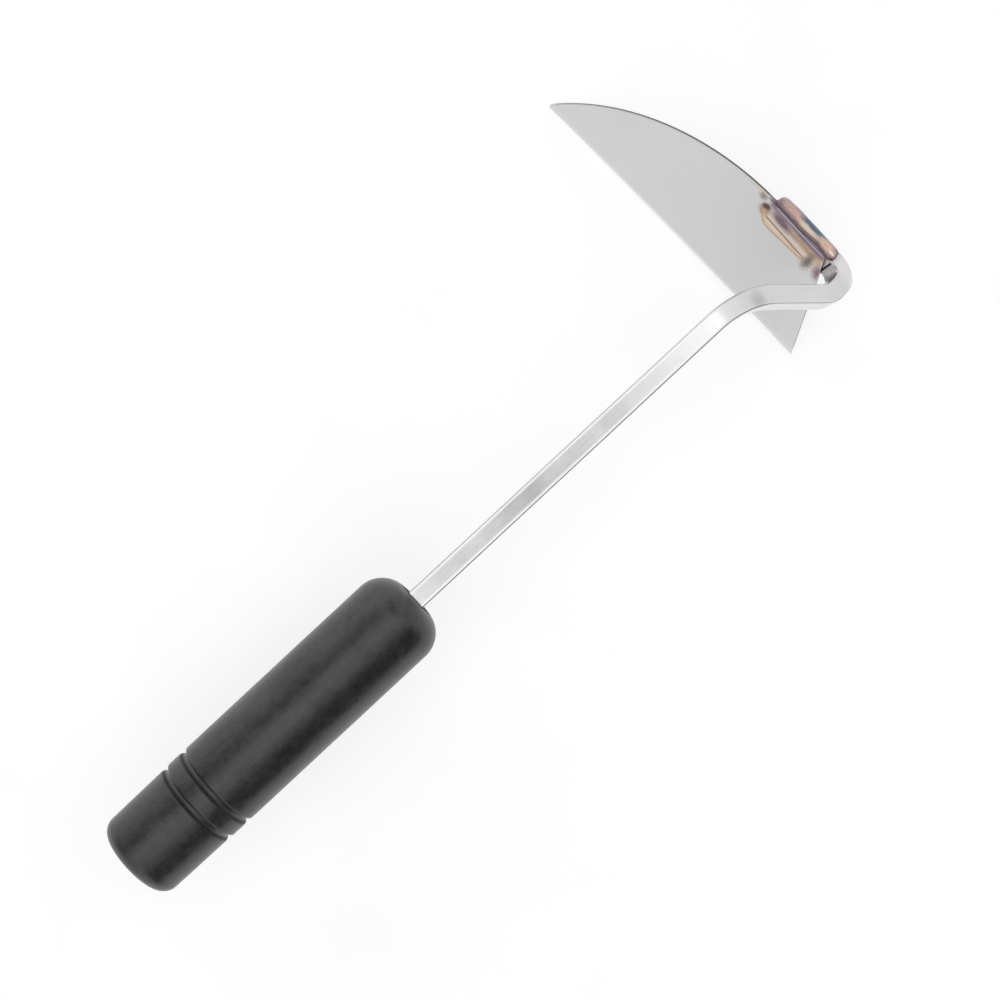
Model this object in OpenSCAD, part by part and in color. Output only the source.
// Hand sickle of the twisted-neck draw-hoe kind: a thin half-moon blade welded
// to a square steel bar, the bar hooked round the blade's heel, and a round
// moulded grip on the bar's tang.
//
// Frame, millimetres: +X runs along the grip axis towards the blade, +Z is
// up (the blade hangs below the grip axis), +Y is the side the blade points to.
// The origin is on the grip axis, near the middle of the grip.

/* [Grip] */
// Diameter of the grip's straight cylindrical body
grip_d = 32; // [26:0.5:40]
// Distance from the origin to the front face, where the bar comes out
grip_front = 66; // [55:1:90]
// Distance from the origin to the top of the domed butt
grip_butt = 64.75; // [58:0.25:90]
// Rounding radius of the front shoulder
front_round = 10.5; // [4:0.5:10.5]
// Rounding radius round the butt
butt_round = 5; // [2:0.5:8]
// Height of the shallow dome on the butt face
butt_dome = 2; // [1:0.25:3]
// Diameter at the rear groove, where the butt piece starts to taper
butt_d = 31.7; // [25.5:0.1:32]
// Diameter at the butt end of the taper
butt_end_d = 31.2; // [25:0.1:32]
// Distance from the origin back to the front groove
groove_1 = 25.2; // [20:0.1:28]
// Distance from the origin back to the rear groove
groove_2 = 33.4; // [31:0.1:40]
// Depth of the V grooves
groove_depth = 1.3; // [0.6:0.1:1.8]
// Width of the V grooves at the surface
groove_width = 2.6; // [1.4:0.1:3.2]

/* [Bar] */
// Width across the flats of the square bar
bar_w = 7; // [6:0.5:7]
// Chamfer along the four long edges of the bar
bar_chamfer = 0.35; // [0.2:0.05:0.8]
// Length of tang held inside the grip
tang_len = 92; // [60:1:110]
// Depth of the V notches that lock the tang in the grip
tang_notch = 0.9; // [0.4:0.1:1.4]
// Free length of straight bar from the grip to the first bend
neck_len = 135.7; // [80:0.1:200]
// Centreline radius of the first bend
bend1_r = 27.6; // [15:0.1:40]
// Angle of the first bend, down and across the blade
bend1_a = 49.2; // [40:0.1:50]
// Roll of the first bend's plane about the bar
bend1_roll = -133.5; // [-140:0.5:-130]
// Straight length between the first bend and the hook
cross_len = 22.96; // [20:0.02:30]
// Centreline radius of the hook's opening curve
hook1_r = 8.5; // [8:0.25:12]
// Angle of the hook's opening curve
hook1_a = 36; // [30:0.5:40]
// Centreline radius of the hook's middle curve, which drops it behind the blade
hook2_r = 7.2; // [7:0.1:10]
// Angle of the hook's middle curve
hook2_a = 19.6; // [15:0.1:24]
// Centreline radius of the hook's closing curve
hook3_r = 6.62; // [6.5:0.02:9]
// Angle of the hook's closing curve
hook3_a = 83.286; // [80:0.001:88]
// Length of the straight pad welded to the back of the blade
pad_len = 29.2; // [25:0.1:34]
// Rounding of the outer corner at the bar's end
end_round = 3.2; // [1:0.1:3.4]

/* [Blade] */
// Length of the cutting edge
blade_len = 126.85; // [105:0.05:150]
// Greatest width of the blade, cutting edge to spine
blade_w = 43.75; // [43:0.05:46]
// Radius of the curved spine
spine_r = 102.9; // [98:0.1:120]
// Blade thickness
blade_t = 1.3; // [1:0.1:2]
// Width of the ground bevel along the cutting edge
bevel_w = 2; // [1:0.1:5]
// Thickness left at the cutting edge
edge_t = 0.3; // [0.2:0.05:0.6]
// Length taken off the sharp tip
tip_blunt = 1.15; // [0.5:0.05:4]
// How far the long cutting edge is hollowed
edge_sag = 0.9; // [0.3:0.1:1.5]
// Lean of the heel edge away from square to the cutting edge
heel_lean = 21.4; // [20:0.1:23]
// How far the heel corner lies behind the start of the welded pad
heel_back = 14.25; // [14:0.05:16]
// Angle between the cutting edge and the welded pad
blade_yaw = 1.93; // [1:0.01:3]

/* [Welds] */
// Crown height of the bead along the spine
seam_h = 0.9; // [0.5:0.1:1.4]
// Width of the bead along the spine
seam_w = 7.6; // [5:0.1:8]
// Leg length of the fillet along the bar, behind the blade
fillet_leg = 2.2; // [1.5:0.1:2.6]
// Radius of the fillet across the bar's end, centred inside the bar
end_leg = 3.3; // [2.4:0.1:3.4]

/* [Hidden] */
$fn = 96;

// radius of the arc that rises this far over a chord
function arc_radius(half_chord, rise) = (half_chord * half_chord + rise * rise) / (2 * rise);

margin = 1;            // cutters stand this far clear of the bar's faces
half_bar = bar_w / 2;
grip_r = grip_d / 2;
tang_x = grip_front - tang_len;     // rear end of the tang
blade_front = half_bar + blade_t;   // y of the blade's front face in the pad frame
corner_drop = 37.91;                // heel corner, below the bar's centreline
bulge = 0.04;                       // the bends are this much thicker on each side
lap = 0.1;                          // straights run this far into the bends
link_len = 0.3;                     // straight between two curves of the hook

// bends in order from the grip: roll of the plane, radius, angle, straight after it
bends = [
    [bend1_roll, bend1_r, bend1_a, cross_len],
    [28, hook1_r, hook1_a, link_len],
    [-68.4, hook2_r, hook2_a, link_len],
    [-4.335, hook3_r, hook3_a, pad_len],
];
last_bend = len(bends) - 1;

// ---------- local frames along the bar ----------
// Each frame has x along the bar. In the pad frame y points to the inside of
// the hook, where the blade lies, and z out of the bar's upper face.

// carry a frame from the start of a bend to its end
module round_bend(bend) {
    roll = bend[0];
    radius = bend[1];
    angle = bend[2];
    rotate([roll, 0, 0])
        translate([radius * sin(angle), radius * (1 - cos(angle)), 0])
            rotate([0, 0, angle])
                rotate([-roll, 0, 0]) children();
}

// frame where bend i starts, found by walking back to the neck
module on_bend_start(i)
    if (i == 0)
        translate([grip_front + neck_len, 0, 0]) children();
    else
        on_bend_end(i - 1) translate([bends[i - 1][3], 0, 0]) children();

module on_bend_end(i) on_bend_start(i) round_bend(bends[i]) children();

module on_pad() on_bend_end(last_bend) children();

// ---------- square bar ----------
module bar_section(extra = 0) {
    side = half_bar + extra;
    flat = side - bar_chamfer;
    polygon([[-flat, -side], [flat, -side], [side, -flat], [side, flat],
             [flat, side], [-flat, side], [-side, flat], [-side, -flat]]);
}

// straight bar from x = 0 to length, run a little further at either end
module bar_run(length, before = 0, after = 0)
    translate([-before, 0, 0]) rotate([90, 0, 90])
        linear_extrude(height = before + length + after) bar_section();

// one bend, slightly swollen
module bar_bend(bend) {
    roll = bend[0];
    radius = bend[1];
    rotate([roll, 0, 0]) translate([0, radius, 0]) rotate([0, 0, -90])
        rotate_extrude(angle = bend[2])
            translate([radius, 0]) rotate(roll) bar_section(bulge);
}

notch_count = 4;
notch_start = 12;      // first notch, from the tang's rear end
notch_pitch = 14;
point_angle = 20;      // slope of the tang's point, each side
point_bite = 1.2;      // how far the point's cutters reach in from the side faces
point_cut = [10, 8, bar_w + 2 * margin];

// V notch across one side face of the tang
module tang_nick(x, side)
    translate([x, side * half_bar, 0])
        rotate([0, 0, 45])
            cube([tang_notch * sqrt(2), tang_notch * sqrt(2), bar_w + 2 * margin],
                 center = true);

// cutter for one side of the tang's point
module tang_point_cut(side)
    translate([tang_x, side * half_bar, 0]) rotate([0, 0, side * point_angle])
        translate([-margin, side > 0 ? -point_bite : point_bite - point_cut.y,
                   -half_bar - margin])
            cube(point_cut);

// straight part of the bar, with the pointed and notched tang
module bar_straight()
    difference() {
        translate([tang_x, 0, 0]) bar_run(tang_len + neck_len, after = lap);
        for (i = [0 : notch_count - 1], side = [-1, 1])
            tang_nick(tang_x + notch_start + notch_pitch * i, side);
        for (side = [-1, 1]) tang_point_cut(side);
    }

// last straight, with the outer corner of its end rounded off
module bar_pad()
    difference() {
        bar_run(pad_len, before = lap);
        translate([pad_len - end_round, -half_bar + end_round, -half_bar - margin])
            difference() {
                translate([0, -end_round - margin, 0])
                    cube([end_round + margin, end_round + margin, bar_w + 2 * margin]);
                cylinder(r = end_round, h = bar_w + 2 * margin);
            }
    }

module neck_bar() color([0.80, 0.80, 0.81]) {
    bar_straight();
    for (i = [0 : last_bend]) on_bend_start(i) bar_bend(bends[i]);
    for (i = [0 : last_bend - 1]) on_bend_end(i) bar_run(bends[i][3], lap, lap);
    on_pad() bar_pad();
}

// ---------- grip ----------
// half profile: x is the radius, y runs from the butt to the front
module grip_profile() {
    face_r = grip_r - front_round;             // flat of the front face
    dome_edge = butt_end_d / 2 - butt_round;   // radius of the dome's rim
    dome_r = arc_radius(dome_edge, butt_dome);
    shoulder = grip_front - front_round;
    butt_face = -grip_butt + butt_dome;
    taper_end = butt_face + butt_round;
    // straight cylindrical body and tapered butt piece, less their roundings
    polygon([[0, butt_face], [dome_edge, butt_face], [dome_edge, taper_end],
             [butt_end_d / 2, taper_end], [butt_d / 2, -groove_2], [grip_r, -groove_2],
             [grip_r, shoulder], [face_r, shoulder], [face_r, grip_front],
             [0, grip_front]]);
    // front shoulder
    intersection() {
        translate([face_r, shoulder]) circle(r = front_round);
        translate([0, shoulder - front_round]) square([grip_r, 2 * front_round]);
    }
    // rounding of the butt
    translate([dome_edge, taper_end]) circle(r = butt_round);
    // shallow dome on the butt face
    intersection() {
        translate([0, -grip_butt + dome_r]) circle(r = dome_r);
        translate([0, -grip_butt - margin]) square([dome_edge, butt_dome + 2 * margin]);
    }
}

// V groove a given distance behind the origin, carried on past the surface
module groove_cut(back) {
    over = 0.7;
    half_mouth = groove_width / 2 * (1 + over / groove_depth);
    polygon([[grip_r - groove_depth, -back],
             [grip_r + over, -back - half_mouth],
             [grip_r + over, -back + half_mouth]]);
}

module grip() color([0.13, 0.13, 0.14])
    difference() {
        rotate([0, 90, 0]) rotate([0, 0, 90]) rotate_extrude() difference() {
            grip_profile();
            groove_cut(groove_1);
            groove_cut(groove_2);
        }
        // the socket is moulded round the notched tang
        bar_straight();
    }

// ---------- blade ----------
run_back = 20;         // blade shapes and cutters start this far back, past the heel

// flat outline: x along the cutting edge from the heel, y towards the spine
module blade_outline() {
    // the spine's circle comes down to the cutting edge at the tip
    spine_y = blade_w - spine_r;
    spine_x = blade_len - sqrt(spine_r * spine_r - spine_y * spine_y);
    strip_len = 44;
    strip_drop = 30;   // strip's lower edge, below the bar's centreline
    edge_r = arc_radius(blade_len / 2, edge_sag);
    difference() {
        intersection() {
            union() {
                translate([spine_x, spine_y]) circle(r = spine_r, $fn = 360);
                // straight spine along the weld
                rotate(blade_yaw) translate([heel_back - run_back, corner_drop - strip_drop])
                    square([strip_len, strip_drop + half_bar]);
            }
            square([blade_len - tip_blunt, blade_w + 5]);
        }
        // heel edge, leaning towards the tip as it nears the spine
        rotate(-heel_lean) translate([-60, -10]) square([60, blade_w + 30]);
        // long shallow hollow of the cutting edge
        translate([blade_len / 2, edge_sag - edge_r]) circle(r = edge_r, $fn = 1440);
    }
}

// area trimmed off the spine: flush with the bar, then a slope up past its end
module spine_trim() {
    slope_start = pad_len - 1.8;
    slope_end = pad_len + 1.9;
    slope_rise = 2;
    top = half_bar + 9;
    polygon([[-run_back, half_bar], [slope_start, half_bar],
             [slope_end, half_bar + slope_rise], [slope_end, top], [-run_back, top]]);
}

// ground bevel on the front face, along the cutting edge
module bevel_cut() {
    ground_off = blade_t - edge_t;
    below = 12;        // the cutter starts this far below the cutting edge
    translate([-heel_back, blade_front, -corner_drop]) rotate([0, blade_yaw, 0])
        translate([-run_back, -ground_off, 0])
            rotate([-atan(ground_off / bevel_w), 0, 0])
                translate([0, 0, -below]) cube([blade_len + 2 * run_back, 8, below + 20]);
}

module blade() color([0.78, 0.78, 0.79])
    on_pad() difference() {
        translate([0, blade_front, 0]) rotate([90, 0, 0]) linear_extrude(height = blade_t)
            difference() {
                translate([-heel_back, -corner_drop]) rotate(-blade_yaw) blade_outline();
                spine_trim();
            }
        bevel_cut();
    }

// ---------- welds ----------
weld_box = 6;          // fillets are trimmed to boxes this deep

// round-ended rod along x, its end centres at start and end
module capsule(start, end, radius) {
    translate([start, 0, 0]) rotate([0, 90, 0]) cylinder(r = radius, h = end - start);
    for (x = [start, end]) translate([x, 0, 0]) sphere(r = radius);
}

// broad low bead over the bar's upper face and the blade's spine
module seam_weld() color([0.50, 0.40, 0.42]) {
    start = 1;
    end = pad_len - 0.3;
    setback = 0.2;     // bead's edge, behind the blade's front face
    seam_r = arc_radius(seam_w / 2, seam_h);
    on_pad() intersection() {
        translate([0, blade_front - setback - seam_w / 2, half_bar + seam_h - seam_r])
            capsule(start + seam_w / 2, end - seam_w / 2, seam_r);
        translate([start, -half_bar, half_bar]) cube([end - start, bar_w + blade_t, 8]);
    }
}

// fillet along the bar's lower edge, behind the blade
module inner_weld() color([0.52, 0.44, 0.42]) {
    inset = 0.2;       // fillet's centre, inside the bar's corner
    on_pad() intersection() {
        translate([0, half_bar - inset, -half_bar + inset])
            capsule(3.2, pad_len - 0.8, fillet_leg + inset);
        translate([-10, half_bar - weld_box, -half_bar - weld_box])
            cube([60, weld_box, weld_box]);
    }
}

// fillet across the bar's end, behind the blade
module end_weld() color([0.55, 0.45, 0.42]) {
    inset = 1.7;       // fillet's centre, back from the bar's end
    over = 0.8;        // rise above the bar's upper face
    on_pad() intersection() {
        translate([pad_len - inset, half_bar, 0]) rotate([0, -90, 0])
            capsule(-3, 1.4, end_leg);
        translate([pad_len, half_bar - weld_box, -half_bar])
            cube([weld_box, weld_box, bar_w + over]);
    }
}

grip();
neck_bar();
blade();
seam_weld();
inner_weld();
end_weld();
